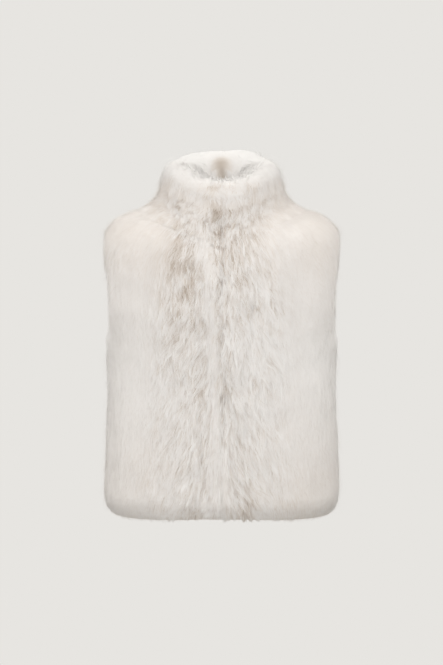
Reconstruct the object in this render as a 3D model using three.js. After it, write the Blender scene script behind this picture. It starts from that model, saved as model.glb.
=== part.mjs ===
// A hip-length sleeveless fur vest with a standing collar, filled out as when it is worn, with nobody in it.
// The front opens down the middle, edge to edge. Fronts and back meet at side and shoulder seams. The
// collar stands on the neckline with fur on both of its faces. Each piece is a wall from its leather to the
// tips of its fur.
// Sizes are in millimetres. Z is up, the front faces -Y and the wearer's left is +X.
// The origin lies between the two points where the shoulders pass into the collar.
import * as THREE from "three";

// Driving dimensions
const SEAM_GAP = 0.3;
const HEM_OVERHANG = 31; // fur past the leather at the hem
const HEM_ROLL = 26; // where the hem's fur starts to round in, above the leather's edge
const ARMHOLE_FRONT = 64; // leather cut away in front of the side line
const ARMHOLE_BACK = 60;
const ARMHOLE_WIDEST = 0.4; // share of the armhole's height
const ARMHOLE_OVERHANG = 13;
const ARMHOLE_ROLL = 10;
const ARMHOLE_EXTRA_PILE = 5; // fur stands out more at a free edge
const RIM_OVERHANG = 23; // fur past the leather at the collar's top
const RIM_ROLL = 16;
const COLLAR_INNER_PILE = 38;
const COLLAR_HALF_WIDTH = 80; // about, for lengths along the collar from the front opening
const COLLAR_PRESS = 6; // how far the collar's fur presses the body's down at the seam
const COLLAR_STEP = 3; // collar fur standing proud of the body fur under it
const FRONT_EDGE_ROLL = 18; // fur parts along the front opening
const FRONT_EDGE_LOSS = 0.2;
const LEAST_FUR = 3;

// Rows of the body and collar from below the hem to above the rim. Y and Z are where the leather passes the
// middle of the front, the side and the middle of the back, corner is the plan's squareness, and pile is the
// fur's height.
const COLUMNS = ["frontY", "frontZ", "sideX", "sideZ", "backY", "backZ", "corner", "pile"];
const SECTIONS = {
  under_hem: [-127, -658, 196, -656, 114, -650, 2.8, 36],
  hem: [-125, -563, 194, -562, 112, -558, 2.8, 36],
  hip: [-123, -468, 190, -467, 108, -465, 2.7, 36],
  waist: [-122, -362, 186, -359, 104, -358, 2.6, 36],
  underarm: [-125, -268, 186, -260, 108, -262, 2.6, 36],
  chest: [-124, -184, 193, -158, 110, -168, 2.6, 37],
  shoulder_tip: [-113, -118, 190, -70, 100, -88, 2.5, 38],
  mid_shoulder: [-100, -88, 144, -40, 86, -42, 2.2, 37],
  neck_side: [-90, -70, 110, -18, 76, -14, 2.1, 38],
  neckline: [-82, -50, 91, 0, 69, 10, 2.0, 39],
  collar_base: [-78, -26, 84, 22, 67, 33, 2.0, 40],
  collar_middle: [-77, 1, 81, 42, 69, 59, 2.0, 38],
  collar_top: [-76, 28, 77, 62, 71, 85, 2.0, 35],
  over_rim: [-75, 54, 75, 86, 73, 111, 2.0, 33],
};
const TABLE = Object.values(SECTIONS);
const ROW = Object.fromEntries(Object.keys(SECTIONS).map((name, index) => [name, index]));

// The collar's fur falls over the neckline seam, down to these rows.
const FALL_FRONT = 6.75;
const FALL_SIDE = 7.4;
const FALL_BACK = 7.3;

// Grid counts: fur columns and rows are even, because the leather side has half as many of each.
const FRONT_COLUMNS = 26;
const BACK_COLUMNS = 52;
const HEM_ROLL_ROWS = 4;
const BODY_ROWS = 14;
const ARMHOLE_ROWS = 10;
const INSET_FADE = 3;
const ARMHOLE_ROW_BUNCHING = 0.6; // the armhole's ends curve more, so rows lie closer there
const YOKE_ROWS = 4;
const COLLAR_PRESS_ROWS = 4; // how many rows under the collar its fur presses on
const COLLAR_ROWS = 8;
const RIM_ROWS = 4;
const COLLAR_INNER_ROWS = 4;

const HEM_ROW_HEIGHT = sized("sideZ", ROW.hip) - sized("sideZ", ROW.hem);

// Locks are two columns wide. Each stands out most at its tip, over the root of the lock under it.
const LOCK_LENGTH = 84;
const LOCK_HEIGHT = 8;
const LOCK_VALLEY = 3;
const LOCK_SWAY = 4; // how far a lock wanders sideways
const COLLAR_LOCKS = 0.45; // the collar's locks, as a share of the body's
const RIM_LOCKS = 0.4;
const COLLAR_SEED = 5;
const HEM_TIP_SPREAD = 12; // how unevenly the locks end at the hem

// Partings where locks lean apart: from (x, z) down to (endX, endZ).
const PARTINGS = [
  { x: -6, z: -290, endX: -44, endZ: -590, depth: 7, width: 13 },
  { x: 4, z: -330, endX: 42, endZ: -590, depth: 7, width: 13 },
  { x: -62, z: -95, endX: -30, endZ: -190, depth: 6, width: 12 },
  { x: 70, z: -120, endX: 52, endZ: -260, depth: 4, width: 12 },
];

const TURN = 360;
const SIDE_LEFT = 90;
const SIDE_RIGHT = 270;

function smooth(before, from, to, after, t) {
  const bend = 2 * before - 5 * from + 4 * to - after;
  const twist = 3 * (from - to) + after - before;
  return from + 0.5 * t * (to - before + t * (bend + t * twist));
}

// One column's value at a row that may lie between two of the table's rows.
function sized(column, row) {
  const place = COLUMNS.indexOf(column);
  const last = TABLE.length - 1;
  const at = Math.min(Math.max(Math.floor(row), 0), last - 1);
  const pick = (index) => TABLE[Math.min(Math.max(index, 0), last)][place];
  return smooth(pick(at - 1), pick(at), pick(at + 1), pick(at + 2), row - at);
}

// A point of the leather side. turn is in degrees from the middle of the front, towards the wearer's left.
function leather(turn, row) {
  const angle = THREE.MathUtils.degToRad(turn);
  const [forward, sideways] = [Math.cos(angle), Math.sin(angle)];
  const isFront = forward >= 0;
  const depth = isFront ? -sized("frontY", row) : sized("backY", row);
  const height = sized(isFront ? "frontZ" : "backZ", row);
  const corner = sized("corner", row);
  const across = Math.abs(sideways) / sized("sideX", row);
  const along = Math.abs(forward) / depth;
  const radius = (across ** corner + along ** corner) ** (-1 / corner);
  const z = sized("sideZ", row) * sideways ** 2 + height * forward ** 2;
  return new THREE.Vector3(radius * sideways, -radius * forward, z);
}

function alongRow(turn, row) {
  return leather(turn + 0.5, row).sub(leather(turn - 0.5, row)).normalize();
}

function upRows(turn, row) {
  return leather(turn, row + 0.03).sub(leather(turn, row - 0.03)).normalize();
}

function outward(turn, row) {
  return alongRow(turn, row).cross(upRows(turn, row)).normalize();
}

// Distances round a row, one for each degree.
const measuredRows = new Map();
function rowLengths(row) {
  const key = row.toFixed(4);
  if (!measuredRows.has(key)) {
    const lengths = [0];
    let last = leather(0, row);
    for (let degree = 1; degree <= TURN; degree += 1) {
      const next = leather(degree, row);
      lengths.push(lengths[degree - 1] + next.distanceTo(last));
      last = next;
    }
    measuredRows.set(key, lengths);
  }
  return measuredRows.get(key);
}

function lengthAt(turn, row) {
  const lengths = rowLengths(row);
  const at = Math.min(Math.floor(turn), TURN - 1);
  return lengths[at] + (lengths[at + 1] - lengths[at]) * (turn - at);
}

function turnAt(length, row) {
  const lengths = rowLengths(row);
  let at = 0;
  while (at < TURN - 1 && lengths[at + 1] < length) at += 1;
  return at + (length - lengths[at]) / (lengths[at + 1] - lengths[at]);
}

// How open the armhole is at a row: 0 at the underarm and the shoulder tip, 1 where it is widest.
function armholeShape(row) {
  const share = armholeShare(row);
  if (share <= 0 || share >= 1) return 0;
  const reach = share < ARMHOLE_WIDEST ? ARMHOLE_WIDEST : 1 - ARMHOLE_WIDEST;
  return Math.sqrt(1 - ((share - ARMHOLE_WIDEST) / reach) ** 2);
}

function armholeShare(row) {
  return (row - ROW.underarm) / (ROW.shoulder_tip - ROW.underarm);
}

// The armhole's edge all round, as points on the leather.
function armholeOutline(sideTurn) {
  const points = [];
  const steps = 24;
  for (const [way, cut] of [[-1, ARMHOLE_FRONT], [1, ARMHOLE_BACK]]) {
    const forward = sideTurn === SIDE_LEFT ? way : -way;
    for (let step = 0; step <= steps; step += 1) {
      const row = ROW.underarm + ((ROW.shoulder_tip - ROW.underarm) * step) / steps;
      const length = lengthAt(sideTurn, row) + forward * cut * armholeShape(row);
      points.push(leather(turnAt(length, row), row));
    }
  }
  return points;
}

const OUTLINES = [armholeOutline(SIDE_LEFT), armholeOutline(SIDE_RIGHT)];

function distanceToArmhole(point) {
  const segment = new THREE.Line3();
  const nearest = new THREE.Vector3();
  let least = Infinity;
  for (const outline of OUTLINES) {
    for (let k = 0; k + 1 < outline.length; k += 1) {
      segment.set(outline[k], outline[k + 1]).closestPointToPoint(point, true, nearest);
      least = Math.min(least, nearest.distanceTo(point));
    }
  }
  return least;
}

// A number from 0 to 1 that stays the same for the same whole numbers.
function scatter(a, b) {
  const wave = Math.sin(a * 127.1 + b * 311.7) * 43758.5453;
  return wave - Math.floor(wave);
}

// The locks' relief: odd columns are their ridges, which rise towards each tip, and even ones the valleys
// between them.
function lockRelief(column, point, seed) {
  if (column % 2 === 0) return -LOCK_VALLEY * (0.6 + 0.8 * scatter(column, seed));
  const length = LOCK_LENGTH * (0.8 + 0.4 * scatter(column, seed + 3));
  const along = point.z / length + scatter(column, seed);
  const fromTip = along - Math.floor(along);
  const height = LOCK_HEIGHT * (0.6 + 0.8 * scatter(column, Math.floor(along) + seed));
  return height * (1 - 0.85 * fromTip);
}

// How far a column's fur wanders sideways from its straight line.
function sway(panel, column, step) {
  if (column === 0 || column === panel.columns) return 0;
  return LOCK_SWAY * Math.sin(0.55 * step + TURN * scatter(Math.floor(column / 2), panel.seed + 7));
}

function partingDepth(point) {
  if (point.y > 0) return 0;
  let depth = 0;
  for (const parting of PARTINGS) {
    const share = THREE.MathUtils.clamp((point.z - parting.z) / (parting.endZ - parting.z), 0, 1);
    const middle = THREE.MathUtils.lerp(parting.x, parting.endX, share);
    const ends = Math.min(1, Math.abs(point.z - parting.z) / 40) * (point.z < parting.z ? 1 : 0);
    const beside = (point.x - middle) / parting.width;
    depth = Math.max(depth, parting.depth * ends * Math.exp(-beside * beside));
  }
  return depth;
}

// A quarter-ellipse edge: 1 well inside it, 0 at the fur's far tips.
function edgeRoll(inside, roll, overhang) {
  const share = THREE.MathUtils.clamp((roll - inside) / (roll + overhang), 0, 1);
  return Math.sqrt(1 - share * share);
}

function fallRow(turn) {
  const angle = THREE.MathUtils.degToRad(turn);
  const middle = Math.cos(angle) >= 0 ? FALL_FRONT : FALL_BACK;
  return THREE.MathUtils.lerp(middle, FALL_SIDE, Math.sin(angle) ** 2);
}

// How far a panel's edge lies inside the line it is measured from, on its leather or at its fur tips.
function edgeInset(turn, row, layer, panelIsFront) {
  const gap = SEAM_GAP / 2;
  if (turn % 180 === 0) return gap;
  const shape = armholeShape(row);
  const cut = panelIsFront ? ARMHOLE_FRONT : ARMHOLE_BACK;
  return gap + shape * (cut - (layer === "fur" ? ARMHOLE_OVERHANG : 0));
}

// Where a panel's column crosses a row: the turn in degrees. Columns close up towards an armhole and keep to
// their straight lines elsewhere.
function columnTurn(panel, share, row, layer) {
  const [first, last] = [lengthAt(panel.from, row), lengthAt(panel.to, row)];
  const fromFirst = edgeInset(panel.from, row, layer, panel.isFront) * (1 - share) ** INSET_FADE;
  const fromLast = edgeInset(panel.to, row, layer, panel.isFront) * share ** INSET_FADE;
  return turnAt(THREE.MathUtils.lerp(first, last, share) + fromFirst - fromLast, row);
}

// The table's row for a grid row above the hem's roll.
function gridRow(step, top) {
  const hemRoll = ROW.hem + HEM_ROLL / HEM_ROW_HEIGHT;
  if (step <= BODY_ROWS) return THREE.MathUtils.lerp(hemRoll, ROW.underarm, step / BODY_ROWS);
  if (step <= BODY_ROWS + ARMHOLE_ROWS) {
    const share = (step - BODY_ROWS) / ARMHOLE_ROWS;
    const eased = (1 - Math.cos(Math.PI * share)) / 2;
    const closerAtEnds = THREE.MathUtils.lerp(share, eased, ARMHOLE_ROW_BUNCHING);
    return THREE.MathUtils.lerp(ROW.underarm, ROW.shoulder_tip, closerAtEnds);
  }
  return THREE.MathUtils.lerp(ROW.shoulder_tip, top, (step - BODY_ROWS - ARMHOLE_ROWS) / YOKE_ROWS);
}

const TOP_STEP = BODY_ROWS + ARMHOLE_ROWS + YOKE_ROWS;
const PANEL_ROWS = HEM_ROLL_ROWS + TOP_STEP;

// The neckline seam runs from the leather out to the fur tips, where the collar's fur ends over the body's.
function seamAt(turn) {
  const fall = fallRow(turn);
  const inner = leather(turn, ROW.neckline);
  const outer = leather(turn, fall).addScaledVector(outward(turn, fall), sized("pile", fall));
  const across = outer.sub(inner);
  const length = across.length();
  across.normalize();
  const up = across.clone().cross(alongRow(turn, (fall + ROW.neckline) / 2)).normalize();
  return { inner, across, length, up };
}

// The fur end of the seam. extra lengthens it, and shift parts its two sides.
function seamPoint(turn, extra, shift) {
  const seam = seamAt(turn);
  return seam.inner.addScaledVector(seam.across, seam.length + extra).addScaledVector(seam.up, shift);
}

// The leather end of the seam.
function seamLeatherPoint(turn, shift) {
  const seam = seamAt(turn);
  return seam.inner.addScaledVector(seam.up, shift);
}

function furHeight(panel, turn, row, point) {
  const beyond = armholeShape(row) > 0 && isPastArmhole(turn, row);
  const distance = distanceToArmhole(point) * (beyond ? -1 : 1);
  const armhole = edgeRoll(distance, ARMHOLE_ROLL, ARMHOLE_OVERHANG);
  const nearArmhole = THREE.MathUtils.clamp(1 - distance / 45, 0, 1);
  const fromFront = panel.isFront ? Math.abs(point.x) : Infinity;
  const frontEdge = 1 - FRONT_EDGE_LOSS * Math.max(0, 1 - fromFront / FRONT_EDGE_ROLL) ** 2;
  const pile = sized("pile", row) + ARMHOLE_EXTRA_PILE * nearArmhole;
  return { pile: pile * armhole * frontEdge, relief: armhole };
}

function isPastArmhole(turn, row) {
  const sideTurn = turn < 180 ? SIDE_LEFT : SIDE_RIGHT;
  const away = lengthAt(turn, row) - lengthAt(sideTurn, row);
  const towardsFront = sideTurn === SIDE_LEFT ? away < 0 : away > 0;
  const cut = (towardsFront ? ARMHOLE_FRONT : ARMHOLE_BACK) * armholeShape(row);
  return Math.abs(away) < cut - 0.01;
}

// The turn and row of a fur column's grid point above the hem's roll.
function furPlace(panel, column, step) {
  const share = column / panel.columns;
  let turn = THREE.MathUtils.lerp(panel.from, panel.to, share);
  let row = gridRow(step, fallRow(turn));
  for (let settle = 0; settle < 4; settle += 1) {
    turn = columnTurn(panel, share, row, "fur");
    row = gridRow(step, fallRow(turn));
  }
  const aside = step < TOP_STEP ? sway(panel, column, step) : 0;
  return { turn: turnAt(lengthAt(turn, row) + aside, row), row };
}

// A fur-side point of a panel.
function furPoint(panel, column, gridStep) {
  if (gridStep < HEM_ROLL_ROWS) return hemPoint(panel, column, gridStep);
  const { turn, row } = furPlace(panel, column, gridStep - HEM_ROLL_ROWS);
  if (gridStep === PANEL_ROWS) return seamPoint(turn, -COLLAR_PRESS, -SEAM_GAP / 2);
  const point = leather(turn, row);
  const height = furHeight(panel, turn, row, point);
  const free = Math.min(1, (PANEL_ROWS - gridStep) / COLLAR_PRESS_ROWS);
  const lock = lockRelief(column, point, panel.seed) * height.relief * free - COLLAR_PRESS * (1 - free);
  const stands = Math.max(LEAST_FUR, height.pile + lock - partingDepth(point));
  return point.addScaledVector(outward(turn, row), stands);
}

// A fur-side point where the hem rounds in. The lowest ones are the tips, which end unevenly.
function hemPoint(panel, column, gridStep) {
  const around = (Math.PI / 2) * (1 - gridStep / HEM_ROLL_ROWS);
  const isEnd = column === 0 || column === panel.columns;
  const tip = isEnd ? 0 : (column % 2) - 0.5 + 1.2 * (scatter(column, panel.seed + 9) - 0.5);
  const inside = HEM_ROLL - (HEM_ROLL + HEM_OVERHANG + HEM_TIP_SPREAD * tip) * Math.sin(around);
  const row = ROW.hem + inside / HEM_ROW_HEIGHT;
  const turn = columnTurn(panel, column / panel.columns, row, "fur");
  const point = leather(turn, row);
  const height = furHeight(panel, turn, ROW.hem, point).pile + lockRelief(column, point, panel.seed);
  const stands = Math.max(LEAST_FUR, (height - partingDepth(point)) * Math.cos(around));
  return point.addScaledVector(outward(turn, row), stands);
}

// A leather-side point of a panel. Its grid has every second column and row of the fur's.
function leatherPoint(panel, column, gridStep) {
  if (gridStep === PANEL_ROWS) {
    return seamLeatherPoint(furPlace(panel, column, gridStep - HEM_ROLL_ROWS).turn, -SEAM_GAP / 2);
  }
  const row = gridStep < HEM_ROLL_ROWS
    ? ROW.hem + (HEM_ROLL * gridStep) / HEM_ROLL_ROWS / HEM_ROW_HEIGHT
    : gridRow(gridStep - HEM_ROLL_ROWS, ROW.neckline);
  return leather(columnTurn(panel, column / panel.columns, row, "leather"), row);
}

class Shell {
  constructor() {
    this.points = [];
    this.faces = [];
  }

  add(point) {
    this.points.push(point);
    return this.points.length - 1;
  }

  // rows[r][c] are point numbers; faces look out where columns run to the wearer's left and rows run up.
  grid(rows, flipped = false) {
    for (let r = 0; r + 1 < rows.length; r += 1) {
      for (let c = 0; c + 1 < rows[r].length; c += 1) {
        const [a, b] = [rows[r][c], rows[r][c + 1]];
        const [d, e] = [rows[r + 1][c], rows[r + 1][c + 1]];
        this.face(a, b, e, flipped);
        this.face(a, e, d, flipped);
      }
    }
  }

  // Joins an edge of the leather to an edge of the fur that has twice as many steps.
  hem(inner, outer, flipped = false) {
    for (let k = 0; k + 1 < inner.length; k += 1) {
      const middle = outer[2 * k + 1];
      this.face(inner[k], outer[2 * k], middle, flipped);
      this.face(inner[k], middle, inner[k + 1], flipped);
      this.face(inner[k + 1], middle, outer[2 * k + 2], flipped);
    }
  }

  // Fills the flat end between a line of leather points and a longer line of fur points.
  cap(inner, outer, flipped = false) {
    let [k, m] = [0, 0];
    while (k + 1 < inner.length || m + 1 < outer.length) {
      const outerNext = (m + 1) * (inner.length - 1) <= (k + 1) * (outer.length - 1);
      if (outerNext) this.face(inner[k], outer[m], outer[(m += 1)], flipped);
      else this.face(inner[k], outer[m], inner[(k += 1)], flipped);
    }
  }

  face(a, b, c, flipped) {
    this.faces.push(flipped ? [a, c, b] : [a, b, c]);
  }

  mesh(name, material) {
    const geometry = new THREE.BufferGeometry().setFromPoints(this.points);
    geometry.setIndex(this.faces.flat());
    const shaded = geometry.toNonIndexed();
    shaded.computeVertexNormals();
    const mesh = new THREE.Mesh(shaded, material);
    mesh.name = name;
    return mesh;
  }
}

function columnOf(rows, column) {
  return rows.map((row) => row[column]);
}

// A front or the back: a wall with a fur grid outside, a leather grid inside and edges all round.
function panelMesh(panel, material) {
  const shell = new Shell();
  const fur = [];
  const skin = [];
  for (let step = 0; step <= PANEL_ROWS; step += 1) {
    const line = [];
    for (let column = 0; column <= panel.columns; column += 1) {
      line.push(shell.add(furPoint(panel, column, step)));
    }
    fur.push(line);
  }
  for (let step = 0; step <= PANEL_ROWS; step += 2) {
    const line = [];
    for (let column = 0; column <= panel.columns; column += 2) {
      line.push(shell.add(leatherPoint(panel, column, step)));
    }
    skin.push(line);
  }
  shell.grid(fur);
  shell.grid(skin, true);
  shell.hem(skin[0], fur[0], true);
  shell.hem(skin.at(-1), fur.at(-1));
  shell.hem(columnOf(skin, 0), columnOf(fur, 0));
  shell.hem(columnOf(skin, skin[0].length - 1), columnOf(fur, fur[0].length - 1), true);
  return shell.mesh(panel.name, material);
}

// The turns at which the panels' fur columns meet the neckline seam, from one front edge to the other.
function seamTurns(panels) {
  const turns = [];
  for (const panel of panels) {
    const first = turns.length === 0 ? 0 : 1;
    for (let column = first; column <= panel.columns; column += 1) {
      turns.push(furPlace(panel, column, PANEL_ROWS - HEM_ROLL_ROWS).turn);
    }
  }
  return turns;
}

// The lower end of a collar lock, on the seam.
function collarTip(turn, column) {
  const lock = lockRelief(column, leather(turn, fallRow(turn)), COLLAR_SEED) * COLLAR_LOCKS;
  return seamPoint(turn, COLLAR_STEP + lock, SEAM_GAP / 2);
}

// The collar: fur outside from the seam up to the rim, rounded over it, and down inside to the seam again.
function collarMesh(panels, material) {
  const shell = new Shell();
  const turns = seamTurns(panels);
  const topHeight = (turn) => leather(turn, ROW.collar_top).distanceTo(leather(turn, ROW.collar_middle));
  const rollRow = (turn) => ROW.collar_top - RIM_ROLL / topHeight(turn);
  const overRow = (turn, inside) => ROW.collar_top - inside / topHeight(turn);
  const frontEdge = (turn) => {
    const angle = THREE.MathUtils.degToRad(Math.min(turn, TURN - turn, SIDE_LEFT));
    const fromOpening = COLLAR_HALF_WIDTH * Math.sin(angle);
    return 1 - FRONT_EDGE_LOSS * Math.max(0, 1 - fromOpening / FRONT_EDGE_ROLL) ** 2;
  };

  const outer = turns.map((turn, column) => {
    const line = [shell.add(collarTip(turn, column))];
    for (let step = 1; step < COLLAR_ROWS; step += 1) {
      const row = THREE.MathUtils.lerp(fallRow(turn), rollRow(turn), step / COLLAR_ROWS);
      const point = leather(turn, row);
      const proud = COLLAR_STEP * (1 - step / COLLAR_ROWS);
      const lock = lockRelief(column, point, COLLAR_SEED) * COLLAR_LOCKS;
      const height = (sized("pile", row) + proud) * frontEdge(turn) + lock;
      line.push(shell.add(point.addScaledVector(outward(turn, row), height)));
    }
    for (let step = 0; step <= RIM_ROWS; step += 1) {
      const around = (Math.PI / 2) * (step / RIM_ROWS);
      const inside = RIM_ROLL - (RIM_ROLL + RIM_OVERHANG) * Math.sin(around);
      const row = overRow(turn, inside);
      const point = leather(turn, row);
      const lock = lockRelief(column, point, COLLAR_SEED) * RIM_LOCKS;
      const height = sized("pile", ROW.collar_top) * frontEdge(turn) + lock;
      line.push(shell.add(point.addScaledVector(outward(turn, row), height * Math.cos(around))));
    }
    return line;
  });

  const inner = turns.filter((turn, column) => column % 2 === 0).map((turn) => {
    const line = [shell.add(seamLeatherPoint(turn, SEAM_GAP / 2))];
    for (let step = 1; step <= COLLAR_INNER_ROWS; step += 1) {
      const share = step / COLLAR_INNER_ROWS;
      const row = THREE.MathUtils.lerp(ROW.neckline, rollRow(turn), share);
      const depth = COLLAR_INNER_PILE * Math.sin((Math.PI / 2) * share);
      line.push(shell.add(leather(turn, row).addScaledVector(outward(turn, row), -depth)));
    }
    for (let step = 1; step < RIM_ROWS - 1; step += 1) {
      const around = (Math.PI / 2) * (step / (RIM_ROWS - 1));
      const inside = RIM_ROLL - (RIM_ROLL + RIM_OVERHANG) * Math.sin(around);
      const row = overRow(turn, inside);
      const depth = COLLAR_INNER_PILE * Math.cos(around);
      line.push(shell.add(leather(turn, row).addScaledVector(outward(turn, row), -depth)));
    }
    return line;
  });

  const acrossRows = (lines) => lines[0].map((first, r) => lines.map((line) => line[r]));
  shell.grid(acrossRows(outer));
  shell.grid(acrossRows(inner), true);
  shell.hem(inner.map((line) => line[0]), outer.map((line) => line[0]), true);
  shell.hem(inner.map((line) => line.at(-1)), outer.map((line) => line.at(-1)));
  shell.cap(inner[0], outer[0]);
  shell.cap(inner.at(-1), outer.at(-1), true);
  return shell.mesh("collar", material);
}

function furMaterial(name, color) {
  return new THREE.MeshStandardMaterial({ name, color, roughness: 0.9, metalness: 0 });
}

const bodyFur = furMaterial("fur", 0xe2dbd2);
const collarFur = furMaterial("collar_fur", 0xe8e0d6);

const PANELS = [
  { name: "front_left", from: 0, to: SIDE_LEFT, columns: FRONT_COLUMNS, isFront: true, seed: 1 },
  { name: "back", from: SIDE_LEFT, to: SIDE_RIGHT, columns: BACK_COLUMNS, isFront: false, seed: 2 },
  { name: "front_right", from: SIDE_RIGHT, to: TURN, columns: FRONT_COLUMNS, isFront: true, seed: 3 },
];

const vest = new THREE.Group();
vest.name = "fur_vest";
for (const panel of PANELS) vest.add(panelMesh(panel, bodyFur));
vest.add(collarMesh(PANELS, collarFur));

export default vest;
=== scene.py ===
"""A sleeveless fur vest with a standing collar, shown as worn with nobody in it.

Each sewn piece is a thin shell of leather with dense underfur on it, and the longer hair is strands in locks.
All of it is made from the same sections as the CAD source. Sizes are millimetres, and meshes are in metres.

A place on the leather is a turn and a row. The turn is degrees round from the middle of the front towards the
wearer's left, and the row counts the sections from the lowest up, with shares in between.
"""
import math

import bpy
import numpy as np
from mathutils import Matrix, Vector, kdtree


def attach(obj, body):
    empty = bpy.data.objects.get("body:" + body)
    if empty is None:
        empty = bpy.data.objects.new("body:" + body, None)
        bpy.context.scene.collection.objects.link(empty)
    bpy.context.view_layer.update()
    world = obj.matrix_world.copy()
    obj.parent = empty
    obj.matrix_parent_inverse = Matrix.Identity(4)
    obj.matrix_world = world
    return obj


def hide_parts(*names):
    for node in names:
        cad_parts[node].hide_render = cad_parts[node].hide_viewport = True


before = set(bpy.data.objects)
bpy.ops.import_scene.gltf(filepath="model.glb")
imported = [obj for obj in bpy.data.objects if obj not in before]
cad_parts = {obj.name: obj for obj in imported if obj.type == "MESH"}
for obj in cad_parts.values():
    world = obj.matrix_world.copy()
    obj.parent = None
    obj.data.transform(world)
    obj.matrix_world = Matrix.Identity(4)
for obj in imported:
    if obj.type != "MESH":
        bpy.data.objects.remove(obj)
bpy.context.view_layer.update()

# Sections of the leather, as in the CAD source: where it passes the front, side and back, how square its
# corners are, and the fur's height
COLUMNS = ("front_y", "front_z", "side_x", "side_z", "back_y", "back_z", "corner", "pile")
SECTIONS = {
    "under_hem": (-127, -658, 196, -656, 114, -650, 2.8, 36),
    "hem": (-125, -563, 194, -562, 112, -558, 2.8, 36),
    "hip": (-123, -468, 190, -467, 108, -465, 2.7, 36),
    "waist": (-122, -362, 186, -359, 104, -358, 2.6, 36),
    "underarm": (-125, -268, 186, -260, 108, -262, 2.6, 36),
    "chest": (-124, -184, 193, -158, 110, -168, 2.6, 37),
    "shoulder_tip": (-113, -118, 190, -70, 100, -88, 2.5, 38),
    "mid_shoulder": (-100, -88, 144, -40, 86, -42, 2.2, 37),
    "neck_side": (-90, -70, 110, -18, 76, -14, 2.1, 38),
    "neckline": (-82, -50, 91, 0, 69, 10, 2.0, 39),
    "collar_base": (-78, -26, 84, 22, 67, 33, 2.0, 40),
    "collar_middle": (-77, 1, 81, 42, 69, 59, 2.0, 38),
    "collar_top": (-76, 28, 77, 62, 71, 85, 2.0, 35),
    "over_rim": (-75, 54, 75, 86, 73, 111, 2.0, 33),
}
TABLE = np.array(list(SECTIONS.values()), float)
ROW = {name: index for index, name in enumerate(SECTIONS)}

# At an edge, OVERHANG is how far the fur reaches past the leather, and ROLL how far inside it rounds over
SEAM_GAP, SEAM_OVERLAP = 0.3, 1.8
LEATHER, LEAST_FUR = 2.4, 3.5
HEM_OVERHANG, HEM_ROLL, HEM_FULLNESS = 31, 26, 2.8
HEM_ROW_HEIGHT, HEM_SIDE_DROP = 95.0, 7
HEM_FACES_DOWN = 0.65
ARMHOLE_CUT = {"front": 64, "back": 60}
ARMHOLE_WIDEST, ARMHOLE_OVERHANG, ARMHOLE_ROLL, ARMHOLE_FULLNESS = 0.4, 13, 10, 2.0
OVER_ARMHOLE_ROW, UNDER_ARMHOLE_ROW = 44, 100  # millimetres to a row there
NEAR_ARMHOLE = 85
ARMHOLE_EXTRA_PILE = {"row": (3.5, 4.7, 5.4, 6.1), "pile": (3, 12, 10, 5)}
SIDE_EXTRA_PILE = 2
FRONT_EDGE_ROLL, FRONT_EDGE_LOSS = 14, 0.13
RIM_OVERHANG, RIM_ROLL, SIDE_RIM_RISE = 22, 16, 7
BACK_CORNER_RISE = {"left": 9, "right": 6}
COLLAR_INNER_PILE = 51
FALL = {"front": 6.75, "side": 7.4, "back": 7.3}
NECK_BEND = (7.6, 10.3)  # rows between which the coat rounds the hollow of the neck in one curve
BUMP, INNER_BUMP, RIM_BUMP = 34, 22, 26  # how wide the swells of the fur's height are
PARTING_END = 40
TURN_STEP, ROW_STEP, CELLS = 0.5, 0.05, 64

# Partings where locks lean apart: x and z at the top and at the bottom, depth and width
PARTINGS = [
    (-6, -290, -44, -590, 7, 13), (4, -330, 42, -590, 7, 13),
    (-62, -95, -30, -190, 6, 12), (70, -120, 52, -260, 4, 12)]

# Patches of the front where the fur is darker or paler: x and z of the centre, half sizes and change of tone
PATCHES = [
    (-66, -122, 28, 62, -0.28), (-58, -60, 12, 40, -0.08), (18, -60, 12, 60, -0.12), (50, -20, 16, 50, -0.08),
    # Painted shade: the narrow dark strips at x -11 and 1 lie down the groove of the front opening
    (-38, -548, 9, 22, -0.26), (40, -540, 9, 30, -0.17), (-76, -400, 9, 90, -0.07), (-11, -40, 6, 55, -0.36),
    (1, -230, 5, 120, -0.18), (58, -270, 42, 140, 0.20), (-160, -290, 60, 110, 0.26),
    (160, -280, 60, 120, 0.36), (-140, -60, 60, 45, -0.07), (140, -60, 60, 45, -0.13)]

# A calm, pale lock down the front, left of the parting in the picture: its middle's x at heights z, its half
# width, and the heights between which it fades in
PALE_LOCK = {
    "z": (-600, -450, -290, -170, -60), "x": (-2, -5, -13, -18, -34), "wide": 9, "from": 40, "to": -20}

# The rough fur down the front: its middle's x, half its width at heights z, and how soft its edge is
ROUGH = {"middle": -6, "z": (-600, -160, -100, -60), "half": (112, 112, 90, 64), "edge": 12}

# Columns of Surface.look
POINT, NORMAL = slice(0, 3), slice(3, 6)
X, Z, AROUND, CLIMBED, PER_TURN, PER_ROW = 0, 2, 6, 7, 8, 9


def fade(value, start, end):
    """0 at start and before it, 1 at end and past it, straight in between."""
    return np.clip((value - start) / (end - start), 0, 1)


def smooth(share):
    return share * share * (3 - 2 * share)


def sized(column, row):
    """A column of the sections at a row, smooth from each to the next."""
    row = np.asarray(row, float)
    at = np.clip(np.floor(row).astype(int), 0, len(TABLE) - 2)
    t = row - at
    values = TABLE[:, COLUMNS.index(column)]
    before, start = values[np.maximum(at - 1, 0)], values[at]
    end, after = values[at + 1], values[np.minimum(at + 2, len(TABLE) - 1)]
    bend = 2 * before - 5 * start + 4 * end - after
    twist = 3 * (start - end) + after - before
    return start + 0.5 * t * (end - before + t * (bend + t * twist))


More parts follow.
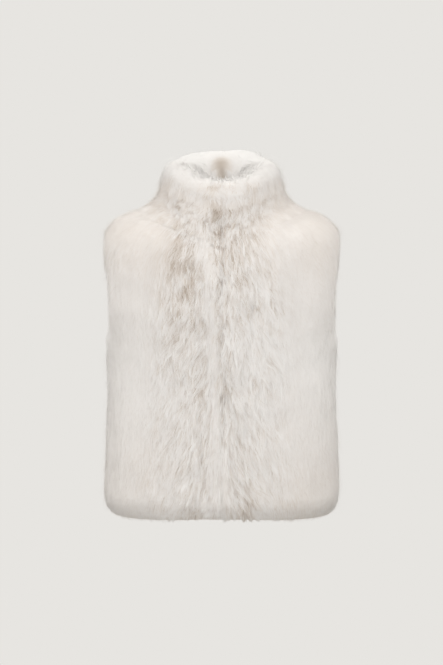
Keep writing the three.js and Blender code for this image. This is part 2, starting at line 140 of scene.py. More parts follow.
def exact_leather(turn, row):
    """The point at a turn and row, on the outside of the leather."""
    angle = np.radians(turn)
    forward, sideways = np.cos(angle), np.sin(angle)
    is_front = forward >= 0
    depth = np.where(is_front, -sized("front_y", row), sized("back_y", row))
    height = np.where(is_front, sized("front_z", row), sized("back_z", row))
    corner = sized("corner", row)
    across = np.abs(sideways) / sized("side_x", row)
    radius = (across ** corner + (np.abs(forward) / depth) ** corner) ** (-1 / corner)
    z = sized("side_z", row) * sideways ** 2 + height * forward ** 2
    return np.stack([radius * sideways, -radius * forward, z], -1)


def unit(vectors):
    return vectors / np.maximum(np.linalg.norm(vectors, axis=-1, keepdims=True), 1e-12)


def raised(look, height):
    """The points this high off the leather."""
    return look[..., POINT] + look[..., NORMAL] * np.asarray(height)[..., None]


class Surface:
    """The leather's form, looked up on a fine grid of turns and rows."""

    def __init__(self):
        self.turns = np.arange(0, 360 + TURN_STEP / 2, TURN_STEP)
        self.rows = np.arange(0, len(TABLE) - 1 + ROW_STEP / 2, ROW_STEP)
        turn, row = np.meshgrid(self.turns, self.rows)
        point = exact_leather(turn, row)
        along = exact_leather(turn + 0.5, row) - exact_leather(turn - 0.5, row)
        up = exact_leather(turn, row + 0.03) - exact_leather(turn, row - 0.03)
        normal = unit(np.cross(along, up))
        steps_round = np.linalg.norm(np.diff(point, axis=1), axis=-1)
        steps_up = np.linalg.norm(np.diff(point, axis=0), axis=-1)
        around = np.pad(np.cumsum(steps_round, axis=1), ((0, 0), (1, 0)))
        climbed = np.pad(np.cumsum(steps_up, axis=0), ((1, 0), (0, 0)))
        per_turn = np.linalg.norm(along, axis=-1)
        per_row = np.linalg.norm(up, axis=-1) / 0.06
        extras = [around[..., None], climbed[..., None], per_turn[..., None], per_row[..., None]]
        self.grid = np.concatenate([point, normal, *extras], -1)

    def look(self, turn, row):
        """Point (3), normal (3), length round the row, length up, millimetres to a degree and to a row."""
        return self.blend(self.grid, turn, row)

    def blend(self, grid, turn, row):
        turn, row = np.broadcast_arrays(np.asarray(turn, float), np.asarray(row, float))
        u = np.clip(np.mod(turn, 360) / TURN_STEP, 0, len(self.turns) - 1.001)
        v = np.clip(row / ROW_STEP, 0, len(self.rows) - 1.001)
        i, j = v.astype(int), u.astype(int)
        a, b = (v - i)[..., None], (u - j)[..., None]
        low = grid[i, j] * (1 - b) + grid[i, j + 1] * b
        high = grid[i + 1, j] * (1 - b) + grid[i + 1, j + 1] * b
        return low * (1 - a) + high * a

    def walk(self, turn, row, down, across):
        """The turn and row reached by going down and across by these lengths."""
        start = self.look(turn, row)
        target = start[..., CLIMBED] - down
        reached = row - down / start[..., PER_ROW]
        for _ in range(3):
            here = self.look(turn, reached)
            reached = reached - (here[..., CLIMBED] - target) / here[..., PER_ROW]
            reached = np.clip(reached, 0, len(TABLE) - 1.001)
        return turn + across / self.look(turn, reached)[..., PER_TURN], reached


surface = Surface()


def on_front(turn):
    return np.cos(np.radians(turn)) >= 0


def fall_row(turn):
    """The row that the collar's fur falls to, over the neckline seam."""
    middle = np.where(on_front(turn), FALL["front"], FALL["back"])
    share = np.sin(np.radians(turn)) ** 2
    return middle * (1 - share) + FALL["side"] * share


def up_armhole(row):
    """Height in the armhole: 0 where it is widest, -1 at its bottom and 1 at its top."""
    share = (row - ROW["underarm"]) / (ROW["shoulder_tip"] - ROW["underarm"])
    return (share - ARMHOLE_WIDEST) / np.where(share < ARMHOLE_WIDEST, ARMHOLE_WIDEST, 1 - ARMHOLE_WIDEST)


def armhole_shape(row):
    """How far the armhole is cut in at a row, as a share of its widest."""
    return np.sqrt(np.clip(1 - up_armhole(row) ** 2, 0, 1))


def armhole_cut(turn):
    """How far it is cut in where it is widest."""
    return np.where(on_front(turn), ARMHOLE_CUT["front"], ARMHOLE_CUT["back"])


def from_side(turn, row):
    """Length round the row from the nearer side line."""
    side = np.where(np.mod(turn, 360) < 180, 90.0, 270.0)
    return np.abs(surface.look(turn, row)[..., AROUND] - surface.look(side, row)[..., AROUND])


def into_armhole(turn, row):
    """How far a place is inside the armhole's leather edge; negative is outside it."""
    level = armhole_cut(turn) * armhole_shape(row) - from_side(turn, row)
    over = (ROW["shoulder_tip"] - row) * OVER_ARMHOLE_ROW
    under = (row - ROW["underarm"]) * UNDER_ARMHOLE_ROW
    return np.minimum(level, np.minimum(over, under))


def near_armhole(turn, row):
    """1 at the armhole's edge, falling to 0 as far outside it as its raised fur reaches."""
    widest = armhole_cut(turn)
    outside_edge = (np.hypot(up_armhole(row), from_side(turn, row) / widest) - 1) * widest
    return smooth(fade(outside_edge, NEAR_ARMHOLE, 0))


def edge_roll(inside, roll, overhang, fullness):
    """How much of the fur's height is left this far inside an edge, where it rounds over."""
    share = fade(inside, roll, -overhang)
    return (1 - share ** fullness) ** (1 / fullness)


class Noise:
    """Smooth random values from -1 to 1 over the plane, which repeat after CELLS times their size."""

    def __init__(self, seed):
        self.values = np.random.default_rng(seed).uniform(-1, 1, (CELLS, CELLS))

    def at(self, x, y, size):
        u, v = np.mod(x / size, CELLS), np.mod(y / size, CELLS)
        i, j = u.astype(int) % CELLS, v.astype(int) % CELLS
        a, b = smooth(u - np.floor(u)), smooth(v - np.floor(v))
        k, m = (i + 1) % CELLS, (j + 1) % CELLS
        low = self.values[i, j] * (1 - a) + self.values[k, j] * a
        high = self.values[i, m] * (1 - a) + self.values[k, m] * a
        return low * (1 - b) + high * b


lean_noise, tuft_noise, tone_noise, height_noise = Noise(11), Noise(12), Noise(13), Noise(14)


def sway(z):
    """How far the parting down the front wanders to the side."""
    return 5 * np.sin(z / 47) + 2.5 * np.sin(z / 17)


def in_pale_lock(x, z):
    middle = np.interp(z, PALE_LOCK["z"], PALE_LOCK["x"])
    return np.exp(-((x - middle) / PALE_LOCK["wide"]) ** 2) * fade(z, PALE_LOCK["from"], PALE_LOCK["to"])


def roughness(turn, row, look):
    """0 where the coat lies smooth, 1 where it is rough and tufted."""
    x, z = look[..., X], look[..., Z]
    past = np.abs(x - ROUGH["middle"]) - np.interp(z, ROUGH["z"], ROUGH["half"])
    middle = 1 / (1 + np.exp(past / ROUGH["edge"]))
    rim = fade(row, ROW["collar_middle"] + 0.4, ROW["collar_top"])
    return np.where(on_front(turn), middle * (1 - 0.6 * in_pale_lock(x, z)) * (1 - rim), 0.0)


def parting_depth(turn, look):
    x, z = look[..., X], look[..., Z]
    depth = np.zeros(np.shape(x))
    for top_x, top_z, low_x, low_z, deep, width in PARTINGS:
        middle = top_x + (low_x - top_x) * fade(z, top_z, low_z)
        end = fade(z, top_z, top_z - PARTING_END)
        depth = np.maximum(depth, deep * end * np.exp(-((x - middle) / width) ** 2))
    return np.where(on_front(turn), depth, 0)


def coat(turn, row, look):
    """How far the fur stands off the leather outside."""
    x, z, around = look[..., X], look[..., Z], look[..., AROUND]
    hole = into_armhole(turn, row)
    at_side = np.sin(np.radians(turn)) ** 4 * fade(row, ROW["shoulder_tip"], ROW["shoulder_tip"] - 1)
    extra = np.interp(row, ARMHOLE_EXTRA_PILE["row"], ARMHOLE_EXTRA_PILE["pile"])
    height = sized("pile", row) + extra * near_armhole(turn, row)
    height = height + SIDE_EXTRA_PILE * at_side
    parted = FRONT_EDGE_LOSS * fade(np.abs(x + sway(z)), FRONT_EDGE_ROLL, 0) ** 2
    height = height * np.where(on_front(turn), 1 - parted, 1) - parting_depth(turn, look)
    height = height + (1.0 + 1.5 * roughness(turn, row, look)) * height_noise.at(around, z, BUMP)
    hem = edge_roll((row - ROW["hem"]) * HEM_ROW_HEIGHT, HEM_ROLL, HEM_OVERHANG, HEM_FULLNESS)
    armhole = edge_roll(-hole, ARMHOLE_ROLL, ARMHOLE_OVERHANG, ARMHOLE_FULLNESS)
    return np.maximum(height * hem * armhole, LEAST_FUR)


def inner_coat(turn, row, look):
    """The same on the collar's inside."""
    share = fade(row, ROW["neckline"], ROW["collar_top"])
    puff = 1 + 0.06 * height_noise.at(look[..., AROUND], look[..., Z], INNER_BUMP)
    return COLLAR_INNER_PILE * np.sin(np.pi / 2 * np.clip(share + 0.12, 0, 1)) * puff


class Coat:
    """The outside of the fur on the same grid: how it reaches from the leather, and which way it faces."""

    def __init__(self):
        turn, row = np.meshgrid(surface.turns, surface.rows)
        look = surface.look(turn, row)
        point = self.round_neck(raised(look, coat(turn, row, look)))
        point[..., 2] -= HEM_SIDE_DROP * np.sin(np.radians(turn)) ** 2 * fade(row, ROW["hem"] + 1, ROW["hem"])
        along = np.roll(point[:, :-1], -1, axis=1) - np.roll(point[:, :-1], 1, axis=1)
        along = np.concatenate([along, along[:, :1]], axis=1)
        normal = unit(np.cross(along, np.gradient(point, axis=0)))
        normal[..., 2] -= HEM_FACES_DOWN * fade(row, ROW["hem"] + 0.15, ROW["hem"] - 0.25)
        self.grid = np.concatenate([point - look[..., POINT], unit(normal)], -1)

    def round_neck(self, point):
        """The rows of NECK_BEND laid on one smooth curve from the body to the collar."""
        low, high = (round(row / ROW_STEP) for row in NECK_BEND)
        start, end = point[low], point[high]
        length = np.linalg.norm(end - start, axis=-1, keepdims=True)
        leave = unit(start - point[low - 4]) * length
        arrive = unit(point[high + 4] - end) * length
        t = np.linspace(0, 1, high - low + 1)[:, None, None]
        from_start = (2 * t ** 3 - 3 * t ** 2 + 1) * start + (t ** 3 - 2 * t ** 2 + t) * leave
        to_end = (3 * t ** 2 - 2 * t ** 3) * end + (t ** 3 - t ** 2) * arrive
        rounded = point.copy()
        rounded[low:high + 1] = from_start + to_end
        return rounded

    def look(self, turn, row):
        """Columns: the reach from the leather (3), and the way that the fur's outside faces (3)."""
        return surface.blend(self.grid, turn, row)


outside = Coat()


def scatter_roots(count, turns, rows, keep, density, generator):
    """Random places on the leather, even by area times density, where keep holds."""
    found_turn, found_row = np.empty(0), np.empty(0)
    most = None
    while len(found_turn) < count:
        turn = generator.uniform(*turns, count * 3)
        row = generator.uniform(*rows, count * 3)
        look = surface.look(turn, row)
        weight = look[:, PER_TURN] * look[:, PER_ROW] * density(turn, row, look)
        if most is None:
            most = weight.max() * 1.05
        good = (generator.random(len(turn)) * most < weight) & keep(turn, row)
        found_turn = np.concatenate([found_turn, turn[good]])
        found_row = np.concatenate([found_row, row[good]])
    return found_turn[:count], found_row[:count]


# Shares of a strand's length at which it has points; what lies below the first is inside the underfur
STOPS = np.array([0.3, 0.55, 0.76, 0.9, 1.0])
TAPER = np.array([0.75, 1.0, 0.95, 0.6])  # its width at each of them but the tip
TIP_DROOP = 0.06
STRAY_SHARE = 0.18  # fine single hairs that stand off the coat
SOFTNESS = 0.88  # how far a strand is shaded as the coat it lies in rather than by itself
TONE_ACROSS = 0.012  # how much paler one edge of a strand is than its middle
INSIDE_LIFT = 1.2
OUTER_SQUARE, INNER_SQUARE = 0.9, 0.8  # below 1, the rim is flat on top and drops steeply at that side
TONES = (0.03, 0.97)


def inside_facing(look):
    """The fur inside the collar is lit from above, as light that comes down between its hairs."""
    return unit(-look[..., NORMAL] + np.array([0.0, 0.0, INSIDE_LIFT]))


def fur_at(turn, row, look, face):
    """From the leather to the fur's outside, and the way that it faces, on either side of the leather."""
    if face > 0:
        around = outside.look(turn, row)
        return around[..., :3], around[..., 3:]
    return -look[..., NORMAL] * inner_coat(turn, row, look)[..., None], inside_facing(look)


def fur_paths(turn, row, face, lean, reach, full, wave, phase, droop=TIP_DROOP):
    """Strands that follow the leather: points and the way the coat faces there, each (strands, stops, 3)."""
    points, facing = [], []
    for stop in STOPS:
        gone = reach * stop ** 1.3
        aside = wave * math.sin(stop * math.pi) * np.sin(phase + 3.2 * stop * math.pi)
        at_turn, at_row = surface.walk(turn, row, gone * np.cos(lean), gone * np.sin(lean) + aside)
        look = surface.look(at_turn, at_row)
        stand, faces = fur_at(at_turn, at_row, look, face)
        share = full * (1 - (1 - stop) ** 2) * (1 - droop * stop ** 3)
        points.append(look[:, POINT] + stand * share[:, None])
        facing.append(faces)
    return np.stack(points, 1), np.stack(facing, 1)


def nearest(centres, points):
    tree = kdtree.KDTree(len(centres))
    for index, centre in enumerate(centres.tolist()):
        tree.insert(centre, index)
    tree.balance()
    return np.array([tree.find(point)[1] for point in points.tolist()])


def add_piece(name, mesh, material, uv=None, shading=None):
    """uv is for each corner of the mesh's faces, and shading is the way that each vertex faces."""
    if uv is not None:
        mesh.uv_layers.new(name="OFBake").data.foreach_set("uv", uv.astype(np.float32).ravel())
    if shading is not None:
        mesh.normals_split_custom_set_from_vertices(shading.reshape(-1, 3).astype(np.float32))
    mesh.materials.append(material)
    piece = bpy.data.objects.new(name, mesh)
    bpy.context.scene.collection.objects.link(piece)
    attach(piece, "root")
    return piece


def ribbons(name, paths, facing, width, tone, twist, softness=SOFTNESS, paled=0.0):
    """A mesh of tapering ribbons. The map that the fur's colour reads holds their tone, and their length from
    root to tip, which begins at paled."""
    count, stops = paths.shape[:2]
    ahead = unit(np.gradient(paths, axis=1))
    normal = unit(facing - ahead * np.sum(facing * ahead, -1, keepdims=True))
    side = np.cross(ahead, normal)
    side = side * np.cos(twist)[:, None, None] + normal * np.sin(twist)[:, None, None]
    half = 0.5 * width[:, None] * TAPER[None, :]
    left = paths[:, :-1] - side[:, :-1] * half[..., None]
    right = paths[:, :-1] + side[:, :-1] * half[..., None]
    body = np.stack([left, right], 2).reshape(count, -1, 3)
    verts = np.concatenate([body, paths[:, -1:]], 1)
    per = verts.shape[1]
    quads = [(2 * k, 2 * k + 1, 2 * k + 3, 2 * k + 2) for k in range(stops - 2)]
    tip = (2 * stops - 4, 2 * stops - 3, 2 * stops - 2)
    local = np.concatenate([*quads, tip])
    loops = (local[None, :] + per * np.arange(count)[:, None]).ravel()
    totals = np.tile([4] * len(quads) + [3], count)
    starts = np.concatenate([[0], np.cumsum(totals)[:-1]])

    mesh = bpy.data.meshes.new(name)
    mesh.vertices.add(count * per)
    mesh.vertices.foreach_set("co", (verts / 1000).astype(np.float32).ravel())
    mesh.loops.add(len(loops))
    mesh.loops.foreach_set("vertex_index", loops.astype(np.int32))
    mesh.polygons.add(len(totals))
    mesh.polygons.foreach_set("loop_start", starts.astype(np.int32))
    mesh.polygons.foreach_set("loop_total", totals.astype(np.int32))
    mesh.polygons.foreach_set("use_smooth", np.ones(len(totals), bool))
    mesh.update(calc_edges=True)
    mesh.validate()
    softness = np.broadcast_to(softness, (count,))[:, None, None]
    soft = unit(facing * softness + normal * (1 - softness))
    shading = np.concatenate([np.repeat(soft[:, :-1], 2, axis=1), soft[:, -1:]], 1)

    across = np.append(np.tile([-TONE_ACROSS, TONE_ACROSS], stops - 1), 0.0)
    u = np.clip(tone, *TONES)[:, None] + across[None, :]
    v = paled + (1 - paled) * np.tile(np.append(np.repeat(STOPS[:-1], 2), 1.0), (count, 1))
    uv = np.clip(np.stack([u, v], -1).reshape(-1, 2)[loops], 0.001, 0.999)
    return add_piece(name, mesh, FUR, uv, shading)


# Materials

def principled(name, settings):
    material = bpy.data.materials.new(name)
    material.use_nodes = True
    shader = material.node_tree.nodes["Principled BSDF"]
    for key, value in settings.items():
        shader.inputs[key].default_value = value
    return material, material.node_tree, shader


def ramp(tree, factor, stops):
    node = tree.nodes.new("ShaderNodeValToRGB")
    elements = node.color_ramp.elements
    for index, (place, colour) in enumerate(stops):
        element = elements[index] if index < 2 else elements.new(place)
        element.position = place
        element.color = (*colour, 1)
    tree.links.new(factor, node.inputs[0])
    return node.outputs[0]


# The fur's colours by its tone, at a strand's root and at its tip. The darker roots are partly the hair's own
# colour and partly painted shade deep in the coat, since the strands cast no shadow
ROOT_COLOURS_AND_DEPTH_SHADE = [(0.0, (0.30, 0.22, 0.16)), (0.5, (0.66, 0.59, 0.53)), (1.0, (0.86, 0.82, 0.78))]
TIP_COLOURS = [
    (0.0, (0.60, 0.525, 0.455)), (0.38, (0.85, 0.808, 0.768)), (0.54, (0.905, 0.884, 0.867)),
    (1.0, (0.965, 0.955, 0.945))]


def fur_material():
    material, tree, shader = principled("fur", {
        "Roughness": 0.62, "Specular IOR Level": 0.25, "Sheen Weight": 0.15, "Sheen Roughness": 0.5})
    place = tree.nodes.new("ShaderNodeUVMap")
    place.uv_map = "OFBake"
    split = tree.nodes.new("ShaderNodeSeparateXYZ")
    tree.links.new(place.outputs[0], split.inputs[0])
    tone, length = split.outputs[0], split.outputs[1]
    # Darker towards each strand's root: partly its own colour, partly painted shade deep in the coat
    share = ramp(tree, length, [(0.3, (0, 0, 0)), (0.8, (1, 1, 1))])
    mix = tree.nodes.new("ShaderNodeMix")
    mix.data_type = "RGBA"
    tree.links.new(share, mix.inputs["Factor"])
    tree.links.new(ramp(tree, tone, ROOT_COLOURS_AND_DEPTH_SHADE), mix.inputs["A"])
    tree.links.new(ramp(tree, tone, TIP_COLOURS), mix.inputs["B"])
    tree.links.new(mix.outputs["Result"], shader.inputs["Base Color"])
    return material


def leather_material():
    material, tree, shader = principled("leather", {"Roughness": 0.85, "Specular IOR Level": 0.2})
    place = tree.nodes.new("ShaderNodeTexCoord")
    noise = tree.nodes.new("ShaderNodeTexNoise")
    noise.inputs["Scale"].default_value = 60
    noise.inputs["Detail"].default_value = 6
    tree.links.new(place.outputs["Object"], noise.inputs["Vector"])
    colour = ramp(tree, noise.outputs[0], [(0.3, (0.56, 0.46, 0.36)), (0.7, (0.68, 0.59, 0.49))])
    tree.links.new(colour, shader.inputs["Base Color"])
    bump = tree.nodes.new("ShaderNodeBump")
    bump.inputs["Strength"].default_value = 0.25
    bump.inputs["Distance"].default_value = 0.001
    tree.links.new(noise.outputs[0], bump.inputs["Height"])
    tree.links.new(bump.outputs[0], shader.inputs["Normal"])
    return material


FUR, HIDE = fur_material(), leather_material()

# Walls: the leather and the underfur

# Rows below the armhole, beside it and above it, and columns in each front
LEATHER_ROWS, LEATHER_COLUMNS = (30, 26, 12), 30
UNDERFUR_ROWS, UNDERFUR_COLUMNS = (46, 34, 18), 48
PANELS = {
    "front_left": {"turns": (0, 90), "side": "front", "width": 1},
    "back": {"turns": (90, 270), "side": "back", "width": 2},
    "front_right": {"turns": (270, 360), "side": "front", "width": 1},
}


def turn_at(length, row):
    """The turn at a length round a row."""
    look = surface.look(surface.turns[:-1], row)
    lengths = np.append(look[:, AROUND], look[-1, AROUND] + look[-1, PER_TURN] * TURN_STEP)
    return np.interp(length, lengths, surface.turns)


def panel_turns(panel, row, overhang, columns):
    """A row of a panel, from edge to edge, with its armhole edge moved out by overhang."""
    first, last = panel["turns"]
    share = np.linspace(0, 1, columns * panel["width"] + 1)
    ends = surface.look(np.array([first, min(last, 359.99)]), row)[:, AROUND]
    cut = armhole_shape(row) * (ARMHOLE_CUT[panel["side"]] - overhang)
    inset = [SEAM_GAP / 2 + (0 if turn % 180 == 0 else cut) for turn in (first, last)]
    bend = inset[0] * (1 - share) ** 3 - inset[1] * share ** 3
    return turn_at(ends[0] + (ends[1] - ends[0]) * share + bend, row)


def panel_rows(below, beside, above):
    """Rows of a panel: as many as these below the armhole, beside it and above it."""
    body = np.linspace(ROW["hem"], ROW["underarm"], below)
    eased = (1 - np.cos(np.linspace(0, np.pi, beside))) / 2
    arm = ROW["underarm"] + (ROW["shoulder_tip"] - ROW["underarm"]) * eased
    yoke = np.linspace(ROW["shoulder_tip"], ROW["neckline"] - 0.02, above)
    return np.array([*body, *arm[1:], *yoke[1:]])


def grid_faces(height, width, offset=0, flipped=False):
    index = np.arange(height * width).reshape(height, width) + offset
    a, b, d, e = index[:-1, :-1], index[:-1, 1:], index[1:, :-1], index[1:, 1:]
    order = [a, d, e, b] if flipped else [a, b, e, d]
    return np.stack(order, -1).reshape(-1, 4)


def shell(name, inner, outer, material, tone=None, facing=None):
    """A closed wall between two grids of points, (rows, columns, 3). tone is what the outer grid has in the
    fur's map, and facing is the way that each grid is shaded."""
    height, width = inner.shape[:2]
    verts = np.concatenate([inner.reshape(-1, 3), outer.reshape(-1, 3)])
    size = height * width
    index = np.arange(size).reshape(height, width)
    under, over = grid_faces(height, width, 0, True), grid_faces(height, width, size)
    border = np.array([*index[0, :-1], *index[:-1, -1], *index[-1, :0:-1], *index[:0:-1, 0]])
    after = np.roll(border, -1)
    rim = np.stack([border, after, after + size, border + size], -1)
    faces = np.concatenate([under, over, rim])
    mesh = bpy.data.meshes.new(name)
    mesh.from_pydata((verts / 1000).tolist(), [], faces.tolist())
    mesh.polygons.foreach_set("use_smooth", np.arange(len(faces)) < len(under) + len(over))
    if tone is None:
        return add_piece(name, mesh, material)
    uv = np.concatenate([tone.reshape(-1, 2) * [1, 0.5], tone.reshape(-1, 2)])[faces.ravel()]
    return add_piece(name, mesh, material, uv, np.array(facing))


def grid_area(points):
    """In square metres."""
    steps_up = points[1:, :-1] - points[:-1, :-1]
    steps_on = points[:-1, 1:] - points[:-1, :-1]
    return np.linalg.norm(np.cross(steps_on, steps_up), axis=-1).sum() / 1e6


def leather_shell(node, turns, rows, lift):
    """The leather, with soft creases on its inside, and its area."""
    look = surface.look(turns, rows)
    crease = 1.2 * np.sin(look[..., X] / 23) * np.sin(look[..., Z] / 61 + look[..., X] / 40) ** 2
    inner = raised(look, lift + np.maximum(crease, 0))
    outer = raised(look, lift + LEATHER)
    return shell("leather_" + node, inner, outer, HIDE), grid_area(inner)


# The fur's tones and its styles. A tone goes from 0, the darkest beige, to 1, the palest ivory

LOCK_RADIUS = 5.0
# RIM_TONE is pale partly as painted light on the rim's top
RIM_TONE = 0.86
# In TONE, "parting" and "hem" are painted shade: down the partings, and where the fur rounds under the hem
TONE = {
    "base": 0.54, "wide": 0.05, "fine": 0.10, "rough": 0.11, "rough_low": 0.04, "low": -0.05,
    "parting": -0.012, "hem": -0.18, "pale_lock": 0.16, "neck": -0.09}
UNDERFUR_SMOOTH, UNDERFUR_ROUGH = 0.90, 0.80  # its height as a share of the coat's


def tone_of(turn, row, look):
    x, z, around = look[..., X], look[..., Z], look[..., AROUND]
    rough = roughness(turn, row, look)
    tone = TONE["base"] + TONE["wide"] * tone_noise.at(around, z, 60)
    tone = tone + TONE["fine"] * rough * tone_noise.at(z, around, 16)
    tone = tone + (TONE["rough"] + TONE["rough_low"] * fade(z, -150, -230)) * rough
    # Painted shade down the partings, as deep as they are
    tone = tone + TONE["low"] * fade(z, -380, -520) + TONE["parting"] * parting_depth(turn, look)
    # Painted shade past the hem, where the fur rounds under
    tone = tone + TONE["hem"] * fade(row, ROW["hem"], ROW["hem"] - HEM_OVERHANG / HEM_ROW_HEIGHT)
    for middle_x, middle_z, wide, high, change in PATCHES:
        spot = ((x + sway(z) - middle_x) / wide) ** 2 + ((z - middle_z) / high) ** 2
        tone = tone + change * np.exp(-spot) * on_front(turn)
    tone = tone + TONE["pale_lock"] * in_pale_lock(x, z) * on_front(turn)
    return tone + TONE["neck"] * fade(row, 7.4, 8.8)


def underfur_share(rough):
    return UNDERFUR_SMOOTH + (UNDERFUR_ROUGH - UNDERFUR_SMOOTH) * rough


def underfur_look(turn, row, look):
    """What the underfur has in the fur's map. Where the fur is rough it is painted darker and nearer the
    root's colour, as painted shade in the gaps between locks.
    """
    rough = roughness(turn, row, look)
    return np.stack([np.clip(tone_of(turn, row, look) - 0.06 * rough, *TONES), 0.80 - 0.14 * rough], -1)


def style_outside(turn, row, look):
    """How the fur lies: lean is radians from straight down, reach its length along the leather, clump how far
    it is drawn to its lock, wave how far it sways, and calm how alike the locks are."""
    x, z, around = look[:, X], look[:, Z], look[:, AROUND]
    rough = roughness(turn, row, look)
    lower = fade(z, -150, -450)
    fan = (0.14 + 0.24 * lower) * np.tanh(x / 22) * np.exp(-(x / 130) ** 2)
    at_neck = fade(row, ROW["mid_shoulder"], ROW["mid_shoulder"] + 1.5)
    loose = rough * (1 - 0.45 * lower) * (1 - 0.55 * at_neck)
    wander = lean_noise.at(around, z, 34) * (0.05 + 0.30 * loose) + lean_noise.at(z, around, 120) * 0.08
    return {
        "rough": rough, "calm": lower, "tone": tone_of(turn, row, look),
        "lean": np.where(on_front(turn), fan, 0) + wander, "reach": 50 + 8 * rough * lower,
        "clump": 0.10 + 0.66 * rough, "wave": 0.5 + 4.0 * loose,
    }


def style_inside(turn, row, look):
    top = surface.look(turn, ROW["collar_top"])
    depth = top[:, CLIMBED] - look[:, CLIMBED] + RIM_OVERHANG
    around, z, same = look[:, AROUND], look[:, Z], np.ones(len(turn))
    # Painted shade deepens down the collar's hole through this tone
    tone = inside_tone(look, depth) + 0.06 * tone_noise.at(around, z, 22)
    return {
        "rough": 0.5 * same, "calm": same, "tone": tone, "lean": lean_noise.at(around, z, 26) * 0.4,
        "reach": 28 * same, "clump": 0.5 * same, "wave": 2.5 * same,
    }


def make_fur(name, count, turns, rows, many, face, style, seed):
    """Strands with their roots in these turns and rows, gathered into this many locks."""
    generator = np.random.default_rng(seed)

    def keep(turn, row):
        return (into_armhole(turn, row) < 0) | (row > ROW["shoulder_tip"])

    def more_locks(turn, row, look):
        return 1 + 1.6 * roughness(turn, row, look)

    def more_hair(turn, row, look):
        return 0.6 + 0.6 * roughness(turn, row, look)

    lock_turn, lock_row = scatter_roots(many, turns, rows, keep, more_locks, generator)
    lock_look = surface.look(lock_turn, lock_row)
    lock = style(lock_turn, lock_row, lock_look)
    lock_lean = lock["lean"] + generator.normal(0, 0.12, many) * lock["rough"]
    lock_reach = tips_in(lock_turn, lock_row, lock["reach"] * generator.uniform(0.8, 1.15, many), generator)
    lock_full = 1 + generator.uniform(-0.05, 0.10, many) * lock["rough"]
    lock_phase = generator.uniform(0, 2 * np.pi, many)
    lock_paths, _ = fur_paths(
        lock_turn, lock_row, face, lock_lean, lock_reach, lock_full, lock["wave"], lock_phase)

    turn, row = scatter_roots(count, turns, rows, keep, more_hair, generator)
    look = surface.look(turn, row)
    own = style(turn, row, look)
    rough = own["rough"]
    which = nearest(lock_look[:, POINT], look[:, POINT] + generator.normal(0, 1.2, (count, 3)))
    from_middle = np.linalg.norm(lock_look[which, POINT] - look[:, POINT], axis=1)
    outer = np.clip(from_middle / LOCK_RADIUS, 0, 1.3)
    lean = own["lean"] * (1 - rough) + lock_lean[which] * rough
    lean = lean + generator.normal(0, 1, count) * (0.04 + 0.05 * rough)
    reach = tips_in(turn, row, own["reach"] * generator.uniform(0.7, 1.1, count), generator)
    full = 1.05 - generator.random(count) * (0.05 + 0.10 * rough) - 0.10 * rough * outer
    stray = generator.random(count) < STRAY_SHARE
    full = np.where(stray, 1.03 + np.minimum(generator.exponential(0.07, count), 0.28), full)
    phase = lock_phase[which] + generator.normal(0, 0.3, count)
    droop = np.where(stray, 0, TIP_DROOP)
    paths, facing = fur_paths(turn, row, face, lean, reach, full, own["wave"], phase, droop)
    pull = own["clump"] * generator.uniform(0.75, 1.1, count) * np.where(stray, 0.25, 1)
    share = np.clip(pull[:, None] * STOPS[None, :] ** 1.2, 0, 0.93)[..., None]
    paths = paths * (1 - share) + lock_paths[which] * share
    lock_tone = generator.normal(0, 0.15, many)[which] * rough * (1 - 0.45 * own["calm"])
    tone = own["tone"] + lock_tone + generator.normal(0, 1, count) * (0.015 + 0.13 * rough)
    # Painted shade and light on the locks: strands at a lock's edge are painted darker and those in its
    # middle paler
    tone = tone + rough * (0.44 - 0.22 * own["calm"]) * (0.5 - outer)
    twist = generator.normal(0, 1, count) * (0.10 + 0.35 * rough)
    width = WIDTH * generator.uniform(0.75, 1.2, count) * np.where(stray, 0.4, 1 + 0.35 * rough)
    return ribbons(name, paths, facing, width, tone, twist, SOFTNESS - 0.24 * rough)


def tips_in(turn, row, reach, generator):
    """The reach, cut so that the tips end just past the hem and a little inside the armhole."""
    from_hem = (row - ROW["hem"]) * HEM_ROW_HEIGHT
    reach = np.minimum(reach, from_hem + HEM_OVERHANG + generator.uniform(-12, 8, len(turn)))
    to_hole = np.maximum(-into_armhole(turn, row), 0)
    beside = from_side(turn, row) < ARMHOLE_CUT["front"]
    over_hole = beside & (row > ROW["chest"]) & (row < ROW["neck_side"])
    return np.where(over_hole, np.minimum(reach, to_hole + ARMHOLE_OVERHANG + 3), reach)


def rim_row(turn):
    """The row from which the collar's fur rounds over its top."""
    return surface.walk(turn, ROW["collar_top"], RIM_ROLL, 0)[1]


